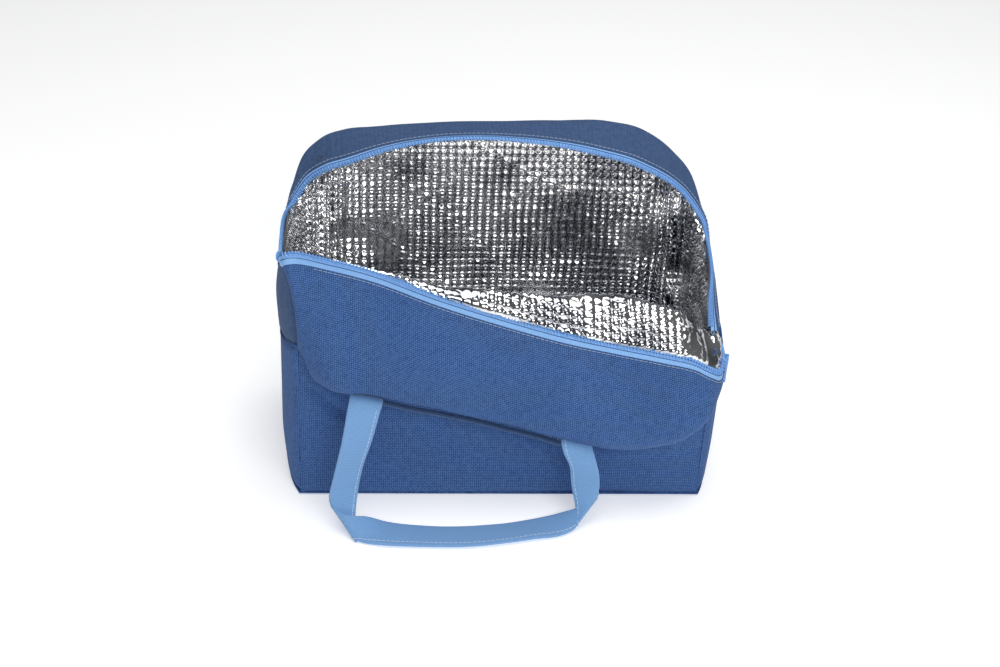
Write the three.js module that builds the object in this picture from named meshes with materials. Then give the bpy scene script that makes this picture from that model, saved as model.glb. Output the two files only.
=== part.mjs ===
// Insulated cooler bag, standing open with its front flap slumped forward.
// Millimetres, +Z up, +X to the bag's right, the front faces -Y. Origin: centre of the base on the floor.
import * as THREE from 'three';

// ---- driving dimensions ----
const WIDTH = 350;
const DEPTH = 180;
const WAIST = 150; // height of the seam between the lower box and the upper panels
const WAIST_SAG = 14; // how far that seam dips half way along each side
const SIDE_BULGE = { base: 11, full: 15, fullHeight: 60 };
const BACK_BULGE = 3;
const CROWN = 276; // top of the back panel
const GAP = 0.3; // clearance between neighbouring pieces

// Depth of each layer below the bag's outer surface.
const CANVAS = { from: 0, to: 1.2 };
const FOAM = { from: 1.5, to: 5.5 };
const LINING = { from: 5.8, to: 6.6 };

const FLAP = { left: -168, right: 172, back: -96.5, front: -121, top: 146 };
const TAPE = { frontWidth: 8, backWidth: 5, thick: 1 };
const COIL_RADIUS = 1.9;
const STRAP = { width: 30, thick: 2.4, sewnThick: 1.6, sewnAt: { left: -114, right: 60 } };

// ---- colours ----
const BLUE = { color: 0x45669b, roughness: 0.92, metalness: 0 };
const LIGHT_BLUE = { color: 0x78a8de, roughness: 0.85, metalness: 0 };
const COIL_BLUE = { color: 0x7ab0ec, roughness: 0.5, metalness: 0 };
const WHITE_FOAM = { color: 0xe9e9e4, roughness: 0.95, metalness: 0 };
const FOIL = { color: 0xb9bcc0, roughness: 0.3, metalness: 0.9 };
const METAL = { color: 0x9a9fa6, roughness: 0.35, metalness: 1 };
const BOARD = { color: 0x3a3d42, roughness: 0.8, metalness: 0 };

const bag = new THREE.Group();

// ---- small helpers ----
const lerp = (a, b, t) => a + (b - a) * t;
const vec = (p) => new THREE.Vector3(...p);
const range = (count) => Array.from({ length: count + 1 }, (_, i) => i / count);

function spline(points) {
  return new THREE.CatmullRomCurve3(points.map(vec), false, 'catmullrom', 0.5);
}

// Where a curve that runs along X crosses the given x.
function curveAtX(curve, x) {
  let low = 0;
  let high = 1;
  for (let i = 0; i < 24; i++) {
    const mid = (low + high) / 2;
    if (curve.getPoint(mid).x < x) low = mid;
    else high = mid;
  }
  return curve.getPoint(low);
}

// A closed body from rings of points; each ring is one cross section, in order along the body.
// A ring is split down its middle into two equal chains, which the end caps bridge. Both chains
// split their faces along the same diagonal, so that layers of one wall stay parallel.
function loft(rings) {
  const size = rings[0].length;
  const positions = rings.flat().flatMap((p) => p.toArray());
  const index = [];
  const quad = (a, b, c, d) => index.push(a, b, c, a, c, d);
  for (let r = 0; r + 1 < rings.length; r++) {
    for (let i = 0; i < size; i++) {
      const j = (i + 1) % size;
      const face = [r * size + i, r * size + j, (r + 1) * size + j, (r + 1) * size + i];
      if (i >= size / 2) face.push(face.shift());
      quad(...face);
    }
  }
  const last = (rings.length - 1) * size;
  for (let i = 0; i < size / 2 - 1; i++) {
    const mirror = size - 1 - i;
    quad(i, mirror, mirror - 1, i + 1);
    quad(last + i, last + i + 1, last + mirror - 1, last + mirror);
  }
  const geometry = new THREE.BufferGeometry();
  geometry.setAttribute('position', new THREE.Float32BufferAttribute(positions, 3));
  geometry.setIndex(index);
  return facingOut(geometry);
}

// Turns every face round if the body's volume comes out negative.
function facingOut(geometry) {
  const position = geometry.attributes.position;
  const index = geometry.index.array;
  const corner = (i) => new THREE.Vector3().fromBufferAttribute(position, index[i]);
  let volume = 0;
  for (let i = 0; i < index.length; i += 3) {
    volume += corner(i).dot(corner(i + 1).cross(corner(i + 2)));
  }
  if (volume < 0) geometry.setIndex(Array.from(index).reverse());
  geometry.computeVertexNormals();
  return geometry;
}

// A sheet of cloth, foam or foil: surface(u, v, depth) gives its skin at a depth below the outside.
function sheet(surface, layer, columns, rows) {
  return loft(range(columns).map((u) => [
    ...range(rows).map((v) => vec(surface(u, v, layer.from))),
    ...range(rows).reverse().map((v) => vec(surface(u, v, layer.to))),
  ]));
}

// The direction nearest to across(t) that is square to the curve.
function sideways(curve, across, t) {
  const tangent = curve.getTangent(t);
  const wanted = across(t);
  return wanted.addScaledVector(tangent, -wanted.dot(tangent)).normalize();
}

// A curve beside another one, at a distance towards across(t).
function beside(curve, across, distance, count) {
  const point = (t) => curve.getPoint(t).addScaledVector(sideways(curve, across, t), distance);
  return spline(range(count).map((t) => point(t).toArray()));
}

// A flat band along a curve. across(t) is the direction of its width.
function band(curve, across, width, thick, steps) {
  return loft(range(steps).map((t) => {
    const centre = curve.getPoint(t);
    const side = sideways(curve, across, t);
    const normal = new THREE.Vector3().crossVectors(curve.getTangent(t), side);
    const half = (typeof width === 'function' ? width(t) : width) / 2;
    const corner = (a, b) => {
      const edge = centre.clone().addScaledVector(side, a * half);
      return edge.addScaledVector(normal, (b * thick) / 2);
    };
    return [corner(-1, -1), corner(1, -1), corner(1, 1), corner(-1, 1)];
  }));
}

function cord(curve, radius, steps, sides = 6) {
  const section = new THREE.Shape();
  for (let i = 0; i < sides; i++) {
    const angle = (i / sides) * 2 * Math.PI;
    const point = [radius * Math.cos(angle), radius * Math.sin(angle)];
    if (i === 0) section.moveTo(...point);
    else section.lineTo(...point);
  }
  section.closePath();
  return new THREE.ExtrudeGeometry(section, { steps, extrudePath: curve, bevelEnabled: false });
}

function add(name, geometry, finish, parent = bag) {
  const mesh = new THREE.Mesh(geometry, new THREE.MeshStandardMaterial(finish));
  mesh.name = name;
  parent.add(mesh);
  return mesh;
}

// The point at t of a profile in the YZ plane, moved square to the profile by a depth.
function inward(profile, t, depth) {
  const step = 0.01;
  const before = profile(Math.max(0, t - step));
  const after = profile(Math.min(1, t + step));
  const run = Math.hypot(after[0] - before[0], after[1] - before[1]);
  const [y, z] = profile(t);
  return [y - ((after[1] - before[1]) / run) * depth, z + ((after[0] - before[0]) / run) * depth];
}

// The three layers of one padded wall, each its own piece.
function paddedWall(name, surface, columns, rows) {
  add(`${name}_panel`, sheet(surface, CANVAS, columns, rows), BLUE);
  add(`${name}_foam`, sheet(surface, FOAM, columns, rows), WHITE_FOAM);
  add(`${name}_lining`, sheet(surface, LINING, columns, rows), FOIL);
}

// ---- shape of the bag ----
function sideX(y, z) {
  const grow = Math.min(1, Math.max(0, z / SIDE_BULGE.fullHeight));
  const bulge = lerp(SIDE_BULGE.base, SIDE_BULGE.full, grow);
  return WIDTH / 2 + bulge * Math.cos((Math.PI * y) / DEPTH);
}

const sideWaist = (y) => WAIST - WAIST_SAG * Math.cos((Math.PI * y) / DEPTH);

// The back edge of the mouth: up the left side, over the back and down the right side.
const LEFT_JUNCTION = { y: -66, z: 205 };
const RIGHT_JUNCTION = { y: -52, z: 143 };
const leftEdgeZ = (y) => LEFT_JUNCTION.z + 16 * (Math.max(0, y - 20) / 50) ** 2;
const rightEdgeZ = (y) => lerp(RIGHT_JUNCTION.z, 195, ((y - RIGHT_JUNCTION.y) / 120) ** 0.8);

function crownZ(x) {
  const drop = x < 0 ? 34 : 56;
  return CROWN - drop * Math.abs((2 * x) / WIDTH) ** 6;
}

function backEdge(x) {
  const out = Math.abs((2 * x) / WIDTH);
  const drop = x < 0 ? 48 : 62;
  return { y: 55 + 11 * out ** 3, z: 271 - drop * out ** 2.4 };
}

// The front edge of the mouth and the fold that the slumped flap hangs down to.
const flapEdge = spline([
  [-170, -82, 226], [-117, -89, 216], [-61, -99, 199], [0, -106, 182],
  [60, -112, 168], [120, -114, 156], [155, -111, 146], [173, -106, 131],
]);
const flapFold = spline([
  [-170, 0, 130], [-116, 0, 119], [0, 0, 95], [93, 0, 65], [125, 0, 66], [158, 0, 79], [173, 0, 100],
]);

// ---- base ----
function baseOutline(inset) {
  const halfDepth = DEPTH / 2 - inset;
  const edge = range(12).map((t) => {
    const y = lerp(-halfDepth, halfDepth, t);
    return [sideX(y, 0) - inset, y];
  });
  const ring = [...edge, ...edge.map(([x, y]) => [-x, y]).reverse()];
  return new THREE.Shape(ring.map(([x, y]) => new THREE.Vector2(x, y)));
}

function basePlate(name, inset, low, high, finish) {
  const options = { depth: high - low, bevelEnabled: false };
  const geometry = new THREE.ExtrudeGeometry(baseOutline(inset), options);
  add(name, geometry, finish).position.z = low;
}

function addBase() {
  const inside = LINING.to + GAP;
  basePlate('base_panel', 0, 0, 1.2, BLUE);
  basePlate('base_board', inside, 1.5, 4, BOARD);
  basePlate('base_foam', inside, 4.3, 8.3, WHITE_FOAM);
  basePlate('base_lining', inside, 8.6, 9.4, FOIL);
}

// ---- lower box ----
const WALL_FOOT = 1.5;

function frontOrBack(sign) {
  return (u, v, depth) => {
    const x = lerp(-1, 1, u) * (WIDTH / 2 - depth - GAP);
    const bulge = BACK_BULGE * Math.sin(Math.PI * u) * Math.sin(Math.PI * v);
    return [x, sign * (DEPTH / 2 - depth + bulge), lerp(WALL_FOOT, WAIST - GAP, v)];
  };
}

function gusset(sign) {
  return (u, v, depth) => {
    const y = lerp(-1, 1, u) * (DEPTH / 2 - depth - GAP);
    const z = lerp(WALL_FOOT, sideWaist(y) - GAP, v);
    return [sign * (sideX(y, z) - depth), y, z];
  };
}

function addLowerBox() {
  paddedWall('lower_front', frontOrBack(-1), 6, 4);
  paddedWall('lower_back', frontOrBack(1), 6, 4);
  paddedWall('lower_left', gusset(-1), 8, 3);
  paddedWall('lower_right', gusset(1), 8, 3);
}

// ---- upper back and sides ----
// The back rises from the waist and its top turns forward to the mouth in one smooth curve.
function upperBack(u, v, depth) {
  const span = WIDTH / 2 - 2 * GAP;
  const across = lerp(-1, 1, u);
  const edge = backEdge(across * span);
  const shoulder = 22; // from the top of the flat wall up to the crown
  const wallTop = crownZ(across * span) - shoulder;
  const wallShare = 0.4;
  const lastTurn = 0.75 * Math.PI;
  const landing = edge.z - shoulder * Math.sin(lastTurn);
  const rise = shoulder + 0.45 * (wallTop - landing);
  const bulge = BACK_BULGE * Math.sin(Math.PI * u);
  const start = DEPTH / 2 + bulge * wallShare;
  const profile = (t) => {
    if (t < wallShare) return [DEPTH / 2 + bulge * t, lerp(WAIST, wallTop, t / wallShare)];
    const turn = (lastTurn * (t - wallShare)) / (1 - wallShare);
    const forward = (1 - Math.cos(turn)) / (1 - Math.cos(lastTurn));
    const low = lerp(wallTop, edge.z - rise * Math.sin(lastTurn), forward);
    return [lerp(start, edge.y, forward), low + rise * Math.sin(turn)];
  };
  return [across * (span - depth), ...inward(profile, v, depth)];
}

function upperSide(sign, firstY, edgeZ) {
  return (u, v, depth) => {
    const y = lerp(firstY, DEPTH / 2 - depth - GAP, u);
    const z = lerp(sideWaist(y), Math.max(sideWaist(y) + 2, edgeZ(Math.min(y, 68))), v);
    return [sign * (sideX(y, z) - depth), y, z];
  };
}

function addUpperWalls() {
  paddedWall('upper_back', upperBack, 14, 9);
  paddedWall('upper_left', upperSide(-1, LEFT_JUNCTION.y - 4, leftEdgeZ), 7, 3);
  paddedWall('upper_right', upperSide(1, RIGHT_JUNCTION.y, rightEdgeZ), 7, 3);
}

// ---- front flap: a slumped pouch, from the waist down to a fold and back up to the mouth ----
function flapProfile(x) {
  const bottom = curveAtX(flapFold, x).z;
  const edge = curveAtX(flapEdge, x);
  const radius = (FLAP.back - FLAP.front) / 2;
  const middle = { y: (FLAP.back + FLAP.front) / 2, z: bottom + radius };
  const back = 0.15; // share of the profile behind the pouch, then up to round its fold
  const fold = 0.55;
  const belly = 4;
  return (t) => {
    if (t < back) return [FLAP.back, lerp(FLAP.top, middle.z, t / back)];
    if (t < fold) {
      const angle = (-Math.PI * (t - back)) / (fold - back);
      return [middle.y + radius * Math.cos(angle), middle.z + radius * Math.sin(angle)];
    }
    const rise = (t - fold) / (1 - fold);
    const swell = belly * Math.sin(Math.PI * rise) * (1 - rise);
    return [lerp(FLAP.front, edge.y, rise * rise) - swell, lerp(middle.z, edge.z, rise)];
  };
}

function flapSkin(u, v, depth) {
  const x = lerp(FLAP.left, FLAP.right, u);
  return [x, ...inward(flapProfile(x), v, -depth)];
}

function addFlap() {
  paddedWall('flap', flapSkin, 14, 12);
  const lip = new THREE.LineCurve3();
  lip.v1 = new THREE.Vector3(-92, -113, curveAtX(flapFold, -92).z - 3.3);
  lip.v2 = new THREE.Vector3(44, -113, curveAtX(flapFold, 44).z - 3.3);
  add('flap_seam_lip', band(lip, () => vec([0, 0, 1]), 4, 2, 4), BLUE);
}

// ---- zip ----
// A zip half: a tape that stands on an edge and a coil along the tape.
function addZipHalf(name, edge, across, width, clear, steps) {
  const tape = beside(edge, across, clear + width / 2, steps);
  const coil = beside(edge, across, clear + width + 2 * GAP + COIL_RADIUS, steps);
  add(`zip_tape_${name}`, band(tape, across, width, TAPE.thick, steps), LIGHT_BLUE);
  add(`zip_coil_${name}`, cord(coil, COIL_RADIUS, steps), COIL_BLUE);
}

function addZip() {
  addZipHalf('front', flapEdge, (t) => vec([0, 0.3 * (1 - t), 1]), TAPE.frontWidth, 0.8, 18);
  const back = spline(mouthBackEdge());
  const across = (t) => {
    const point = back.getPoint(t);
    const over = THREE.MathUtils.smoothstep(point.y, 56, 64);
    const top = Math.abs(point.x) < 165 ? 1 : over;
    return vec([0, -top, 1 - 1.25 * top]);
  };
  addZipHalf('back', back, across, TAPE.backWidth, 2, 34);
}

// The line that the back half of the zip follows, just inside the canvas.
function mouthBackEdge() {
  const inset = CANVAS.to / 2;
  const side = (sign, edgeZ) => (y) => [sign * (sideX(y, WAIST) - inset), y, edgeZ(y)];
  const left = [LEFT_JUNCTION.y, -20, 15, 50].map(side(-1, leftEdgeZ));
  const right = [50, 15, -20, RIGHT_JUNCTION.y + 4].map(side(1, rightEdgeZ));
  const back = [-165, -125, -65, 0, 65, 125, 165].map((x) => [x, backEdge(x).y, backEdge(x).z - inset]);
  return [...left, ...back, ...right];
}

// The zip's lower end on the right side: its tab, stop, slider and pull, square to the bulging side.
const SLIDER = { y: -66, z: 128, thick: 2.4, width: 9, height: 5, pinOut: 5, ear: 1.4 };
const PULL = { radius: 1.5, halfThick: 0.9, length: 22, side: 0.4 };

function box(width, depth, height) {
  return new THREE.BoxGeometry(width, depth, height);
}

function addZipEnd() {
  const tabOut = 2;
  const pinOut = tabOut + 1 + SLIDER.pinOut + SLIDER.thick / 2;
  const slope = (sideX(SLIDER.y + 1, WAIST) - sideX(SLIDER.y - 1, WAIST)) / 2;
  const end = new THREE.Group();
  end.position.set(sideX(SLIDER.y, WAIST), SLIDER.y, SLIDER.z);
  end.rotation.z = -Math.atan(slope);
  bag.add(end);
  add('zip_end_tab', box(1.2, 16, 34), LIGHT_BLUE, end).position.set(tabOut, 0, -6);
  add('zip_end_stop', box(1.6, 7, 2.5), METAL, end).position.set(tabOut + 1.7, 0, -12);
  add('zip_slider', sliderGeometry(), METAL, end).position.set(tabOut + 1 + SLIDER.thick / 2, 0, 0);
  add('zip_pull', pullGeometry(), METAL, end).position.set(pinOut, 0, 0);
}

// The slider's plate and the two ears that carry the pull, as one outline extruded in height.
function sliderGeometry() {
  const half = SLIDER.width / 2;
  const ear = SLIDER.ear;
  const reach = SLIDER.pinOut + ear;
  const face = SLIDER.thick / 2;
  const outline = [
    [-face, -half], [reach, -half], [reach, -half + ear], [face, -half + ear],
    [face, half - ear], [reach, half - ear], [reach, half], [-face, half],
  ];
  const shape = new THREE.Shape(outline.map(([x, y]) => new THREE.Vector2(x, y)));
  const geometry = new THREE.ExtrudeGeometry(shape, { depth: SLIDER.height, bevelEnabled: false });
  geometry.translate(0, 0, -SLIDER.height / 2);
  return geometry;
}

// The pull hangs between the ears: a round knuckle on top of a flat tail.
function pullGeometry() {
  const width = SLIDER.width - 2 * (SLIDER.ear + PULL.side);
  const shape = new THREE.Shape();
  shape.absarc(0, 0, PULL.radius, -0.2 * Math.PI, 1.2 * Math.PI, false);
  shape.lineTo(-PULL.halfThick, -PULL.length);
  shape.lineTo(PULL.halfThick, -PULL.length);
  const options = { depth: width, bevelEnabled: false, curveSegments: 8 };
  const geometry = new THREE.ExtrudeGeometry(shape, options);
  geometry.translate(0, 0, -width / 2);
  geometry.rotateX(Math.PI / 2);
  return geometry;
}

// ---- handles ----
// The front handle hangs from under the flap's fold, turns over at each corner and lies on the floor.
const FRONT_HANDLE = [
  [-116, -121.5, 110], [-119, -127, 86], [-125, -136, 50], [-132, -144, 24], [-122, -153, 8],
  [-90, -163, 5], [-45, -166, 5], [10, -163, 5], [50, -153, 6],
  [76, -141, 14], [76, -134, 32], [66, -121.5, 64],
];
// The rear handle hangs from the waist down the back and lies on the floor behind.
const REAR_HANDLE = [
  [-85, 96, 144], [-86, 97, 100], [-89, 103, 55], [-92, 116, 20], [-78, 130, 7],
  [-40, 138, 5], [0, 139, 5], [40, 138, 5],
  [78, 130, 7], [92, 116, 20], [89, 103, 55], [86, 97, 100], [85, 96, 144],
];

// Along a handle the width starts across the leg, lies flat on the floor and ends across the other leg.
function handleAcross(fold) {
  const leg = (sign) => vec([sign, 0, 0]);
  const floor = vec([0, -0.97, -0.24]);
  return (t) => {
    const first = THREE.MathUtils.smoothstep(t, fold[0], fold[1]);
    const second = THREE.MathUtils.smoothstep(t, fold[2], fold[3]);
    if (second > 0) return floor.clone().multiplyScalar(1 - second).addScaledVector(leg(-1), second);
    return leg(1).multiplyScalar(1 - first).addScaledVector(floor, first);
  };
}

// fold holds where each corner starts and ends along the handle; the tape bunches up there.
function addHandle(name, route, fold) {
  const turn = (t, a, b) => Math.max(0, 1 - Math.abs((2 * t - a - b) / (b - a)));
  const width = (t) => {
    const bunched = Math.max(turn(t, fold[0], fold[1]), turn(t, fold[2], fold[3]));
    return STRAP.width * (1 - 0.5 * bunched);
  };
  const steps = 34;
  add(name, band(spline(route), handleAcross(fold), width, STRAP.thick, steps), LIGHT_BLUE);
}

function addHandles() {
  addHandle('front_handle', FRONT_HANDLE, [0.2, 0.42, 0.7, 0.92]);
  addHandle('rear_handle', REAR_HANDLE, [0.2, 0.42, 0.58, 0.8]);
}

// The sewn ends of the front handle run from the waist down behind the flap and out under its fold.
function strapEnd(name, topX, exitX) {
  const fold = curveAtX(flapFold, exitX).z;
  const slope = (curveAtX(flapFold, exitX + 15).z - curveAtX(flapFold, exitX - 15).z) / 30;
  const behind = -94.6;
  const route = [
    [topX, behind, 144], [exitX, behind, fold + 12], [exitX, -99, fold - 2], [exitX, -116, fold - 6],
  ];
  const path = spline(route);
  add(name, band(path, (t) => vec([1, 0, slope * t]), STRAP.width, STRAP.sewnThick, 12), LIGHT_BLUE);
}

addBase();
addLowerBox();
addUpperWalls();
addFlap();
addZip();
addZipEnd();
addHandles();
strapEnd('front_strap_end_left', STRAP.sewnAt.left, -116);
strapEnd('front_strap_end_right', STRAP.sewnAt.right, 66);

export default bag;
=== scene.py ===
"""Looks of the insulated cooler bag: canvas, foil, zip and handles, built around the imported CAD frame.

Lengths in this file are millimetres until a mesh is made; mesh_object() turns them into metres.
"""
import math

import bpy
import numpy as np
from mathutils import Matrix, Vector


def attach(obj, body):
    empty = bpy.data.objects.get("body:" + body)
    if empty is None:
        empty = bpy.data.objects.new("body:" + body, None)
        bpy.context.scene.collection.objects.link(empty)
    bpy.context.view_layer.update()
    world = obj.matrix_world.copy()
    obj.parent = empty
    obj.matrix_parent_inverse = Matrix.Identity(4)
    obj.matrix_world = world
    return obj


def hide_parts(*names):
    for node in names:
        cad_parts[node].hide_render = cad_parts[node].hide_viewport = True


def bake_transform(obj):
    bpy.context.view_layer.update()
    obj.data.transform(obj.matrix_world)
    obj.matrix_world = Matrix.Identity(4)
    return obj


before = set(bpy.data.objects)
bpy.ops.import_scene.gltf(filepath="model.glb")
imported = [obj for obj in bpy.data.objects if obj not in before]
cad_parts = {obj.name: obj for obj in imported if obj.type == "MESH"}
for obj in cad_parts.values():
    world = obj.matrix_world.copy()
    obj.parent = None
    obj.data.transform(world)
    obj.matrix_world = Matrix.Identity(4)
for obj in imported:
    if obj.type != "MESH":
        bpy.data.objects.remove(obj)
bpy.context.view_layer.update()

MM = 0.001
BAG, FLAP = "bag", "front_flap"

# ---- driving dimensions, in millimetres ----
WIDTH, DEPTH = 350, 180
WAIST = 150
WALL_FOOT, WALL_TOP = 1.2, 149
# An x past the rounded corners, where a point counts as on the side.
SIDE_X = 190.0
SEAM_ROOM = 0.5
CANVAS_THICK = 1.3
FOAM_FROM, FOAM_TO = 1.6, 4.2
FOAM_EASING = 14
LINING_DEPTH = 5.6
BUBBLE = 7.0
FLOOR_HEIGHT, FLOOR_HALF_LENGTH, FLOOR_HALF_DEPTH = 8.5, 180, 84
PLEAT_X, PLEAT_Y, PLEAT_REACH = 160, 84, 20
PLEAT_DEPTH, PLEAT_PITCH = 6.5, 13
WEAVE = 1.75
COIL_PITCH = 2.8
COIL_HALF_WIDTH = 2.3
COIL_HALF_THICK = 1.2
TAPE_WIDTH = 7.4
STRAP_THICK = 2.4
STITCH_PITCH = 4.0
# A column of the flap's grid that crosses its face; the weave's spacing along the flap is read there.
FACE_COLUMN = 105
# Bodies at the mouth, whose pieces are baked where they stand; each pair, where a piece would start to follow
# the flap (y) and where it would follow it fully, is not read.
MOUTH_BLENDS = {"mouth": (-48, -86), "mouth_roll": (-30, -75)}


# ---- curves and grids ----
def unit(vectors):
    length = np.linalg.norm(vectors, axis=-1, keepdims=True)
    return vectors / np.maximum(length, 1e-9)


def ease(t):
    t = np.clip(t, 0, 1)
    return t * t * (3 - 2 * t)


def interpolate(knots, values, at):
    """Smooth values at the given places, through the values at the knots."""
    values = np.asarray(values, float)
    slopes = np.gradient(values, knots, axis=0)
    i = np.clip(np.searchsorted(knots, at, side="right") - 1, 0, len(knots) - 2)
    shape = (-1,) + (1,) * (values.ndim - 1)
    h = (knots[i + 1] - knots[i]).reshape(shape)
    f = (at - knots[i]).reshape(shape) / h
    near = (2 * f**3 - 3 * f**2 + 1) * values[i] + (f**3 - 2 * f**2 + f) * h * slopes[i]
    far = (3 * f**2 - 2 * f**3) * values[i + 1] + (f**3 - f**2) * h * slopes[i + 1]
    return near + far


def lengths(points):
    return np.r_[0, np.cumsum(np.linalg.norm(np.diff(points, axis=0), axis=1))]


def read_off(rows, run, at):
    """The rows at these distances; run is how far along the line each row is."""
    return np.stack([np.interp(at, run, rows[:, k]) for k in range(rows.shape[1])], axis=1)


def evenly(points, count):
    """The same polyline with its points an equal distance apart."""
    run = lengths(points)
    return read_off(points, run, np.linspace(0, run[-1], count))


def curve(points, count):
    """A smooth curve through the points, with evenly spaced samples."""
    points = np.asarray(points, float)
    knots = np.r_[0, np.cumsum(np.linalg.norm(np.diff(points, axis=0), axis=1) ** 0.5)]
    dense = interpolate(knots, points, np.linspace(0, knots[-1], 12 * len(points)))
    return evenly(dense, count)


def loft(stations, count_u, count_v, knots=None):
    """A grid of points on the skin through profiles, spaced as they lie or as the knots say."""
    rows = np.stack([curve(profile, count_v) for profile in stations])
    if knots is None:
        step = np.linalg.norm(np.diff(rows, axis=0), axis=2).mean(axis=1)
        knots = np.r_[0, np.cumsum(step)]
    return interpolate(knots, rows, np.linspace(0, knots[-1], count_u))


def grid_of(x, y, z):
    """A grid of points from coordinates that need not all vary both ways."""
    return np.stack(np.broadcast_arrays(x, y, z), axis=-1).astype(float)


def normals(grid):
    return unit(np.cross(np.gradient(grid, axis=0), np.gradient(grid, axis=1)))


def arcs(grid):
    """How far each grid point is along the cloth from its first row and its first column."""
    along_u = np.linalg.norm(np.diff(grid, axis=0), axis=2)
    along_v = np.linalg.norm(np.diff(grid, axis=1), axis=2)
    u = np.concatenate([np.zeros((1, grid.shape[1])), np.cumsum(along_u, axis=0)])
    v = np.concatenate([np.zeros((grid.shape[0], 1)), np.cumsum(along_v, axis=1)], axis=1)
    return u, v


def noise(points, size, seed):
    """Smooth noise from -1 to 1 at the points, with features of about the given size."""
    table = np.random.default_rng(seed).uniform(-1, 1, (24, 24, 24))
    p = np.asarray(points, float) / size + 100
    cell = np.floor(p).astype(int)
    f = ease(p - cell)
    total = 0
    for corner in np.ndindex(2, 2, 2):
        weight = np.prod([f[..., k] if corner[k] else 1 - f[..., k] for k in range(3)], axis=0)
        index = tuple((cell[..., k] + corner[k]) % 24 for k in range(3))
        total = total + weight * table[index]
    return total


# ---- meshes ----
def mesh_object(name, vertices, faces, material, uv=None):
    mesh = bpy.data.meshes.new(name)
    mesh.from_pydata((np.asarray(vertices) * MM).tolist(), [], faces)
    if uv is not None:
        layer = mesh.uv_layers.new(name="cloth")
        index = np.zeros(len(mesh.loops), int)
        mesh.loops.foreach_get("vertex_index", index)
        layer.data.foreach_set("uv", (np.asarray(uv)[index] * MM).astype(np.float32).ravel())
    mesh.shade_smooth()
    mesh.set_sharp_from_angle(angle=math.radians(60))
    mesh.update()
    obj = bpy.data.objects.new(name, mesh)
    bpy.context.scene.collection.objects.link(obj)
    mesh.materials.append(material)
    return obj


def grid_faces(nu, nv, start=0, flip=False):
    i, j = np.meshgrid(np.arange(nu - 1), np.arange(nv - 1), indexing="ij")
    a = start + i * nv + j
    quads = np.stack([a, a + nv, a + nv + 1, a + 1], axis=-1).reshape(-1, 4)
    return (quads[:, ::-1] if flip else quads).tolist()


def slab(name, outside, inside, material, grain=None):
    """A closed sheet between two grids of the same size; grain is how far along the weave each point is."""
    nu, nv = outside.shape[:2]
    vertices = np.concatenate([outside.reshape(-1, 3), inside.reshape(-1, 3)])
    half = nu * nv
    faces = grid_faces(nu, nv) + grid_faces(nu, nv, half, flip=True)
    rim = [i * nv for i in range(nu)] + [(nu - 1) * nv + j for j in range(1, nv)]
    rim += [i * nv + nv - 1 for i in range(nu - 2, -1, -1)] + list(range(nv - 2, 0, -1))
    for a, b in zip(rim, rim[1:] + rim[:1]):
        faces.append([b, a, a + half, b + half])
    u, v = arcs(outside) if grain is None else grain
    uv = np.stack([u.ravel(), v.ravel()], axis=1)
    return mesh_object(name, vertices, faces, material, np.concatenate([uv, uv]))


def tube(points, radius, sides):
    """Vertices and faces of a round tube along the points, closed at both ends."""
    points = np.asarray(points, float)
    tangent = unit(np.gradient(points, axis=0))
    side = np.zeros_like(points)
    guess = np.array([0.0, 0.0, 1.0]) if abs(tangent[0][2]) < 0.9 else np.array([1.0, 0, 0])
    for i, t in enumerate(tangent):
        guess = unit(guess - t * (guess @ t))
        side[i] = guess
    other = np.cross(tangent, side)
    angle = np.arange(sides) * 2 * math.pi / sides
    radius = np.broadcast_to(radius, len(points))[:, None, None]
    ring = side[:, None] * np.cos(angle)[None, :, None] + other[:, None] * np.sin(angle)[None, :, None]
    vertices = (points[:, None] + radius * ring).reshape(-1, 3)
    faces = []
    for i in range(len(points) - 1):
        for k in range(sides):
            a, b = i * sides + k, i * sides + (k + 1) % sides
            faces.append([a, b, b + sides, a + sides])
    faces.append(list(range(sides))[::-1])
    faces.append([(len(points) - 1) * sides + k for k in range(sides)])
    return vertices, faces


def tubes_object(name, strands, radius, sides, material):
    """One object made of many separate tubes."""
    vertices, faces, start = [], [], 0
    for strand in strands:
        v, f = tube(strand, radius, sides)
        vertices.append(v)
        faces += [[start + i for i in face] for face in f]
        start += len(v)
    return mesh_object(name, np.concatenate(vertices), faces, material)


def stitches(name, line, lift, material, first=0.0, last=1.0, radius=0.38):
    """A row of sewn stitches along a line of points; lift is the direction out of the cloth."""
    run = lengths(line)
    strands = []
    at = run[-1] * first
    while at + STITCH_PITCH < run[-1] * last:
        span = np.linspace(at, at + STITCH_PITCH * 0.72, 5)
        thread = read_off(line, run, span)
        out = read_off(lift, run, span)
        arch = np.sin(np.linspace(0, math.pi, 5))[:, None]
        strands.append(thread + unit(out) * (arch * 0.5 - 0.15))
        at += STITCH_PITCH
    return tubes_object(name, strands, radius, 6, material)


def offset(grid, distance):
    distance = np.asarray(distance)
    return grid + normals(grid) * (distance[..., None] if distance.ndim else distance)


def smoothed(grid, passes):
    """The grid with its sharp bends eased; its rim stays where it is."""
    grid = grid.copy()
    for _ in range(passes):
        grid[1:-1] = 0.5 * grid[1:-1] + 0.25 * (grid[:-2] + grid[2:])
        grid[:, 1:-1] = 0.5 * grid[:, 1:-1] + 0.25 * (grid[:, :-2] + grid[:, 2:])
    return grid


def eased(line, passes):
    """The line of vectors with its sudden turns evened out; its ends stay."""
    line = line.copy()
    for _ in range(passes):
        line[1:-1] = 0.5 * line[1:-1] + 0.25 * (line[:-2] + line[2:])
    return line


def edge_distance(grid):
    """Distance along the cloth from each point to the nearest edge."""
    u, v = arcs(grid)
    return np.minimum.reduce([u, u[-1:] - u, v, v[:, -1:] - v])


def sewn(grid, tuck=2.4, reach=4.5):
    """The panel with its edges tucked in, as at a seam turned inside."""
    return offset(grid, -tuck * np.exp(-(edge_distance(grid) / reach) ** 2))


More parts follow.
